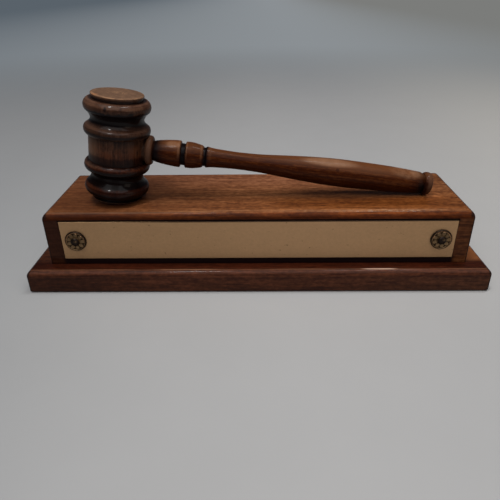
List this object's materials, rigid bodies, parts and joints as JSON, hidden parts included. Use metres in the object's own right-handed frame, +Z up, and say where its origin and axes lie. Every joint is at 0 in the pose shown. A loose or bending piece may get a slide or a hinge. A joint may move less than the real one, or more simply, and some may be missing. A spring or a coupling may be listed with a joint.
{
  "type": "presentation gavel on a desk stand",
  "caption": "Turned wooden gavel lying on a two-tier wooden desk stand with a bare brass name plate and domed rosettes; the gavel lifts off.",
  "frame": {"origin": "on the ground under the middle of the stand, at the underside of the felt", "axes": "+X along the stand towards the gavel's butt, +Y from the name plate to the stand's back, +Z up"},
  "size_m": [0.3048, 0.0976, 0.1245],
  "materials": {
    "head_wood": "dark stained hardwood, worn gloss lacquer",
    "handle_wood": "stained hardwood, satin lacquer",
    "block_wood": "stained hardwood, satin lacquer",
    "plinth_wood": "stained hardwood, satin lacquer",
    "plate_brass": "pale brass, finely brushed",
    "rosette_brass": "aged stamped brass",
    "steel": "plain steel screws",
    "felt": "thin dark green felt"
  },
  "bodies": {
    "stand": {"felt_pad": "felt", "plinth": "plinth_wood", "stand_block": "block_wood", "base_screw_left": "steel", "base_screw_right": "steel", "name_plate": "plate_brass", "rosette_left": "rosette_brass", "rosette_right": "rosette_brass", "rosette_pin_left": "rosette_brass", "rosette_pin_right": "rosette_brass"},
    "gavel": {"gavel_head": "head_wood", "gavel_handle": "handle_wood"}
  },
  "joints": [
    {"name": "gavel_lift", "type": "slide", "parent": "stand", "child": "gavel", "axis": [0, 0, 1], "range_m": [0, 0.12]}
  ]
}
